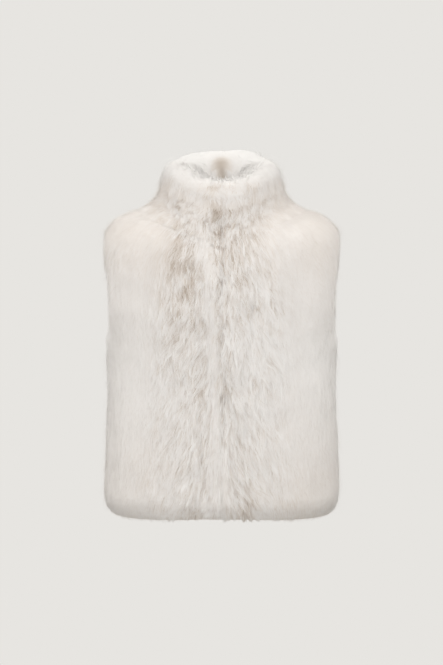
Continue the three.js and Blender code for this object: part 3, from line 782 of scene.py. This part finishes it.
def rim_place(turn, angle, share):
    """A point over the collar's rounded top, and the way it faces. Angle 0 is outside and pi inside, and past
    either it goes on down the collar's side. Share 1 is the fur's tips."""
    row = rim_row(turn)
    centre, top = surface.look(turn, row), surface.look(turn, ROW["collar_top"])
    up = unit(top[..., POINT] - centre[..., POINT])
    over = np.clip(angle, 0, np.pi)
    outer = (over < np.pi / 2)[..., None]
    stand = np.where(outer, fur_at(turn, row, centre, 1)[0], fur_at(turn, row, centre, -1)[0])
    square = np.where(outer[..., 0], OUTER_SQUARE, INNER_SQUARE)
    puff = 1 + 0.04 * height_noise.at(top[..., AROUND], top[..., Z] + 30 * over, RIM_BUMP)
    corner = np.where(on_front(turn), 0, np.sin(np.radians(2 * turn)) ** 2)
    corner_rise = np.where(np.mod(turn, 360) < 180, BACK_CORNER_RISE["left"], BACK_CORNER_RISE["right"])
    rise = RIM_ROLL + RIM_OVERHANG + SIDE_RIM_RISE * np.sin(np.radians(turn)) ** 2 + corner_rise * corner
    sideways, upward = np.abs(np.cos(over)) ** square * share, np.sin(over) ** square * rise * puff * share
    point = centre[..., POINT] + stand * sideways[..., None] + up * upward[..., None]
    lift = np.where(outer[..., 0], 0, INSIDE_LIFT) * np.abs(np.cos(over))
    facing = unit(unit(stand) * np.abs(np.cos(over))[..., None] + up * (np.sin(over) + lift)[..., None])

    beyond = np.abs(angle - over) * np.linalg.norm(stand, axis=-1)
    lower_turn, lower_row = surface.walk(turn, row, beyond, 0)
    lower = surface.look(lower_turn, lower_row)
    out_stand, out_faces = fur_at(lower_turn, lower_row, lower, 1)
    in_stand, in_faces = fur_at(lower_turn, lower_row, lower, -1)
    side_stand = np.where(outer, out_stand, in_stand) * np.broadcast_to(share, beyond.shape)[..., None]
    past = (beyond > 0)[..., None]
    point = np.where(past, lower[..., POINT] + side_stand, point)
    facing = np.where(past, np.where(outer, out_faces, in_faces), facing)
    return point, facing, centre[..., POINT], up


def inside_tone(point, depth):
    """Fur inside the collar is painted darker the deeper it is, first in the middle of the back, as painted
    shade down in the hole. Away from that middle it is painted paler, as painted light against the shade in
    the bowl.
    """
    x, behind = point[..., 0], point[..., 1] > 0
    spot = np.exp(-((x - 3) / 34) ** 2) * behind
    core = np.exp(-((x + 3) / 20) ** 2) * behind
    dark = 0.42 * spot * fade(depth, 4, 20) + 0.40 * core * fade(depth, 9, 27)
    return RIM_TONE + 0.12 * (1 - spot) - dark


def rim_tone(turn, angle, point):
    """The tone over the rim: the collar's own outside the crest, painted pale on top as painted light, and
    painted darker deep inside as painted shade.
    """
    row = ROW["collar_middle"]
    outer = tone_of(turn, row, surface.look(turn, row))
    crest = 0.9 * np.clip(np.cos(np.radians(turn)), 0, 1) ** 2 - 0.2
    share = fade(angle, crest, crest + 0.5)
    within = np.clip(angle, np.pi / 2, np.pi)
    drop = (RIM_ROLL + RIM_OVERHANG) * (1 - np.sin(within) ** INNER_SQUARE)
    drop = np.maximum(drop + (angle - within) * COLLAR_INNER_PILE, 0)
    return outer * (1 - share) + inside_tone(point, drop) * share


# Strands that begin past the first of these angles are thinned out behind, and those past the second at the
# sides too, because a strand seen from its underside looks grey
OUTER_ANGLE, INNER_ANGLE = 1.0, 1.9


def rim_fur(name, count, seed):
    """Fur that rounds over the collar's top. Each strand leaves the edge at its own angle and curls down."""
    generator = np.random.default_rng(seed)
    turn = generator.uniform(0, 360, 2 * count)
    start = math.pi * generator.beta(1.1, 1.05, 2 * count)
    forward = np.cos(np.radians(turn))
    behind = fade(forward, 0.375, -0.125)
    within = np.clip(2.3 - 2.4 * forward, 0, 1) * (start > INNER_ANGLE)
    kept = (start < OUTER_ANGLE) | (generator.random(2 * count) > 0.95 * np.maximum(behind, within))
    turn, start, forward, behind = (values[kept][:count] for values in (turn, start, forward, behind))
    deep = (start > OUTER_ANGLE) & (behind > 0)
    outward = generator.random(count) < 1 / (1 + np.exp((start - np.pi / 2) / 0.2))
    down_outside = generator.uniform(0.5, 1.15, count) * (1 - 0.5 * np.clip(forward, 0, 1) ** 2)
    down_inside = generator.uniform(0.3, 0.8, count) * (1 - 0.6 * behind)
    curl = np.where(outward, -down_outside, down_inside)
    base = ROW["collar_middle"]
    rough = roughness(turn, base, surface.look(turn, base)) * outward
    along = 1.7 * turn
    drift = generator.normal(0, 1.5, count) + 6 * lean_noise.at(turn, start * 40, 24)
    drift = drift + rough * 7 * tuft_noise.at(along, start * 30, 9)
    phase = 6 * lean_noise.at(along, start * 20, 12)
    full = generator.uniform(0.93, 1.02, count) - rough * generator.uniform(0, 0.08, count)
    stray = generator.random(count) < 1.6 * STRAY_SHARE
    full = np.where(stray, 1.02 + np.minimum(generator.exponential(0.08, count), 0.22), full)
    rooted = generator.uniform(0, RIM_ROLL, count)
    points, facing = [], []
    for stop in STOPS:
        tip, faces, centre, up = rim_place(turn, start + curl * stop ** 1.6, full)
        wave = 3 * rough * np.sin(phase + 3.5 * math.pi * stop) * math.sin(stop * math.pi)
        tip = tip + np.cross(up, faces) * (drift * stop + wave)[:, None]
        gone = 1 - (1 - stop) ** 3.2
        points.append((centre + up * rooted[:, None]) * (1 - gone) + tip * gone)
        facing.append(faces)
    paths, facing = np.stack(points, 1), np.stack(facing, 1)
    tone = rim_tone(turn, start + np.where(outward, 0.6, 0.35) * curl, paths[:, 2])
    tone = tone + generator.normal(0, 1, count) * (0.03 + 0.11 * rough)
    tone = tone + rough * 0.25 * tuft_noise.at(along + 400, start * 25, 7)
    twist = generator.normal(0, 0.15, count)
    width = WIDTH * generator.uniform(0.75, 1.15, count) * np.where(stray | deep, 0.5, 1)
    return ribbons(name, paths, facing, width, tone, twist, paled=0.5)


def hem_rows():
    """Rows past the leather's lower edge, over which the fur rounds in."""
    return ROW["hem"] - np.sin(np.linspace(np.pi / 2, 0, 9))[:-1] * HEM_OVERHANG * 0.82 / HEM_ROW_HEIGHT


def past_seams(turns, row):
    """A row of turns with one more at each end, past the seam."""
    more = SEAM_OVERLAP / surface.look(turns[[0, -1]], row)[:, PER_TURN]
    return np.array([turns[0] - more[0], *turns, turns[-1] + more[1]])


def underfur(node, panel):
    """The dense short fur between the longer hairs, as a soft wall on the leather."""
    inner_rows, outer_rows = [], []
    for row in [*hem_rows(), *panel_rows(*UNDERFUR_ROWS)]:
        turns = past_seams(panel_turns(panel, row, 0.85 * ARMHOLE_OVERHANG, UNDERFUR_COLUMNS), row)
        inner_rows.append((turns, np.full(len(turns), row)))
        above = fade(row, ROW["shoulder_tip"], ROW["neckline"])
        top = ROW["shoulder_tip"] + (fall_row(turns) + 0.12 - ROW["shoulder_tip"]) * above
        outer_rows.append((turns, np.where(above > 0, top, row)))
    inner_turns, inner_row = (np.array(values) for values in zip(*inner_rows))
    outer_turns, outer_row = (np.array(values) for values in zip(*outer_rows))
    look = surface.look(outer_turns, outer_row)
    share = underfur_share(roughness(outer_turns, outer_row, look))
    share[:, [0, -1]] *= 0.94
    share[-2:] *= 0.97
    reach, faces = fur_at(outer_turns, outer_row, look, 1)
    outer = look[..., POINT] + reach * share[..., None]
    leather = surface.look(inner_turns, inner_row)
    under = raised(leather, LEATHER + 0.2)
    tone = underfur_look(outer_turns, outer_row, look)
    return shell("underfur_" + node, under, outer, FUR, tone, (-leather[..., NORMAL], unit(faces)))


def collar_underfur():
    """The same on the collar: from its seam out over the body's fur, up, over the rim and down inside."""
    turns = np.array([-0.7, *np.linspace(0.12, 359.88, 181), 360.7])
    lower_end = np.where((turns < 0) | (turns > 360), 0.95, 1.0)
    lines = [raised(surface.look(turns, ROW["neckline"] + 0.03), LEATHER)]
    tones, facing = [np.full((len(turns), 2), 0.4)], []
    start, end = fall_row(turns) - 0.08, rim_row(turns)
    for share in [0, 0.02, *np.linspace(0.06, 1, 15)]:
        row = start + (end - start) * share
        look = surface.look(turns, row)
        tucked = 0.008 * (1 - share) if share > 0 else -0.03
        soft = underfur_share(roughness(turns, row, look)) * lower_end + tucked
        reach, faces = fur_at(turns, row, look, 1)
        lines.append(look[:, POINT] + reach * soft[:, None])
        tones.append(underfur_look(turns, row, look))
        facing.append(unit(faces))
    for angle in np.linspace(0.12, math.pi, 15):
        angles = np.full(len(turns), angle)
        point, faces = rim_place(turns, angles, UNDERFUR_SMOOTH * lower_end)[:2]
        lines.append(point)
        facing.append(faces)
        tones.append(np.stack([rim_tone(turns, angles, point), np.full(len(turns), 0.8)], -1))
    for share in np.linspace(0.08, 1, 9):
        rows = end + (ROW["neckline"] + 0.1 - end) * share
        look = surface.look(turns, rows)
        lines.append(raised(look, -inner_coat(turns, rows, look) * UNDERFUR_SMOOTH * lower_end))
        tones.append(np.stack([style_inside(turns, rows, look)["tone"], np.full(len(turns), 0.75)], -1))
        facing.append(inside_facing(look))
    loop, tone = np.array(lines), np.array(tones)
    count, around = loop.shape[:2]
    index = np.arange(count * around).reshape(count, around)
    after = np.roll(index, -1, axis=0)
    sides = np.stack([index[:, :-1], index[:, 1:], after[:, 1:], after[:, :-1]], -1).reshape(-1, 4)
    faces = sides.tolist() + [index[:, 0].tolist(), index[::-1, -1].tolist()]
    mesh = bpy.data.meshes.new("underfur_collar")
    mesh.from_pydata((loop.reshape(-1, 3) / 1000).tolist(), [], faces)
    strip = np.arange(len(faces)) // (around - 1)
    mesh.polygons.foreach_set("use_smooth", (strip > 0) & (strip < count - 2))
    uv = np.clip(tone.reshape(-1, 2)[np.concatenate(faces)], 0.01, 0.99)
    return add_piece("underfur_collar", mesh, FUR, uv, np.array([facing[0], *facing]))


# Making the pieces

COUNT_SHARE = 1
WIDTH = 1.1
BODY_ROWS = (ROW["hem"], ROW["neckline"] - 0.05)
COLLAR_ROWS = (ROW["neckline"] - 0.1, ROW["collar_top"] - 0.4)
INSIDE_ROWS = (ROW["neckline"] + 0.1, ROW["collar_top"] - 1.1)
ALL_ROUND = (0.02, 359.98)

# Fur: name, strands, turns, rows, locks, side of the leather (1 is outside), style and seed
COATS = [
    ("fur_front_left", 27000, (0.02, 90), BODY_ROWS, 1700, 1, style_outside, 21),
    ("fur_front_right", 27000, (270, 359.98), BODY_ROWS, 1700, 1, style_outside, 22),
    ("fur_back_left", 14500, (90, 180), BODY_ROWS, 900, 1, style_outside, 23),
    ("fur_back_right", 14500, (180, 270), BODY_ROWS, 900, 1, style_outside, 24),
    ("fur_collar_outside", 13000, ALL_ROUND, COLLAR_ROWS, 420, 1, style_outside, 31),
    ("fur_collar_inside", 4500, ALL_ROUND, INSIDE_ROWS, 220, -1, style_inside, 32),
]
fur = {}
for name, count, *rest in COATS:
    fur[name] = make_fur(name, int(count * COUNT_SHARE), *rest)
fur["fur_rim"] = rim_fur("fur_rim", int(10500 * COUNT_SHARE), 33)
for node, panel in PANELS.items():
    fur["underfur_" + node] = underfur(node, panel)
fur["underfur_collar"] = collar_underfur()
for name, piece in fur.items():
    if name.startswith("fur_"):
        piece.visible_shadow = False  # real hairs are far finer than these strands, and let light through

# Flat sizes of the cut leather, in metres
FLAT = {"front_left": (0.30, 0.62), "back": (0.54, 0.68), "front_right": (0.30, 0.62), "collar": (0.53, 0.13)}
for node, (width, length) in FLAT.items():
    if node == "collar":
        turns, rows = np.meshgrid(
            np.linspace(0.1, 359.9, 121), np.linspace(ROW["neckline"] + 0.02, ROW["collar_top"], 14))
        lift = -LEATHER / 2
    else:
        rows = panel_rows(*LEATHER_ROWS)
        turns = np.array([panel_turns(PANELS[node], row, 0, LEATHER_COLUMNS) for row in rows])
        rows = np.repeat(rows[:, None], turns.shape[1], axis=1)
        lift = 0.0
    leather, area = leather_shell(node, turns, rows, lift)
    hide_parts(node)

# Floor, light and camera

PALE = (0.799, 0.783, 0.753)  # the photograph's plain background


def floor():
    bpy.ops.mesh.primitive_circle_add(vertices=96, radius=1.05, fill_type="NGON", location=(0, 0, -1.25))
    piece = bpy.context.object
    piece.name = "floor"
    colour = (*(0.75 * value for value in PALE), 1)
    piece.data.materials.append(principled("floor", {"Base Color": colour, "Roughness": 0.9})[0])


def area_light(name, place, aim, size, power, colour):
    data = bpy.data.lights.new(name, "AREA")
    data.shape, data.size, data.energy, data.color = "DISK", size, power, colour
    light = bpy.data.objects.new(name, data)
    bpy.context.scene.collection.objects.link(light)
    light.location = place
    light.rotation_euler = (Vector(aim) - Vector(place)).to_track_quat("-Z", "Y").to_euler()


def studio():
    """Plain pale ground all round the vest, darker below it and brighter above, and two soft lights."""
    world = bpy.data.worlds.new("studio")
    bpy.context.scene.world = world
    world.use_nodes = True
    tree = world.node_tree
    place = tree.nodes.new("ShaderNodeTexCoord")
    split = tree.nodes.new("ShaderNodeSeparateXYZ")
    tree.links.new(place.outputs["Generated"], split.inputs[0])
    height = tree.nodes.new("ShaderNodeMapRange")
    height.inputs["From Min"].default_value = -1
    tree.links.new(split.outputs["Z"], height.inputs["Value"])
    dim, bright = (tuple(share * value for value in PALE) for share in (0.32, 1.12))
    colour = ramp(tree, height.outputs[0], [(0.22, dim), (0.34, PALE), (0.60, PALE), (0.78, bright)])
    tree.links.new(colour, tree.nodes["Background"].inputs["Color"])
    area_light(
        "overhead", place=(0, -0.7, 1.9), aim=(0, 0, -0.1), size=1.6, power=4.4, colour=(1.0, 0.985, 0.965))
    area_light(
        "front", place=(-0.2, -2.9, 0.7), aim=(0, 0, -0.27), size=2.2, power=15.8, colour=(1.0, 0.993, 0.992))


floor()
studio()

MM_PER_PIXEL = 1.95
IMAGE = (443, 665)
CENTRE_X_PX, ORIGIN_Y_PX = 221.7, 205.0
ELEVATION, DISTANCE = math.radians(5.5), 3.6
camera_data = bpy.data.cameras.new("camera")
camera = bpy.data.objects.new("camera", camera_data)
bpy.context.scene.collection.objects.link(camera)
bpy.context.scene.camera = camera
half_height = IMAGE[1] * MM_PER_PIXEL / 2000
camera_data.lens = camera_data.sensor_width / 2 / (half_height / DISTANCE)
middle = Vector((
    (IMAGE[0] / 2 - CENTRE_X_PX) * MM_PER_PIXEL / 1000, 0,
    (ORIGIN_Y_PX - IMAGE[1] / 2) * MM_PER_PIXEL / 1000))
back = Vector((0, -math.cos(ELEVATION), math.sin(ELEVATION)))
camera.location = middle + back * DISTANCE
camera.rotation_euler = (-back).to_track_quat("-Z", "Y").to_euler()
bpy.context.scene.view_settings.view_transform = "Standard"
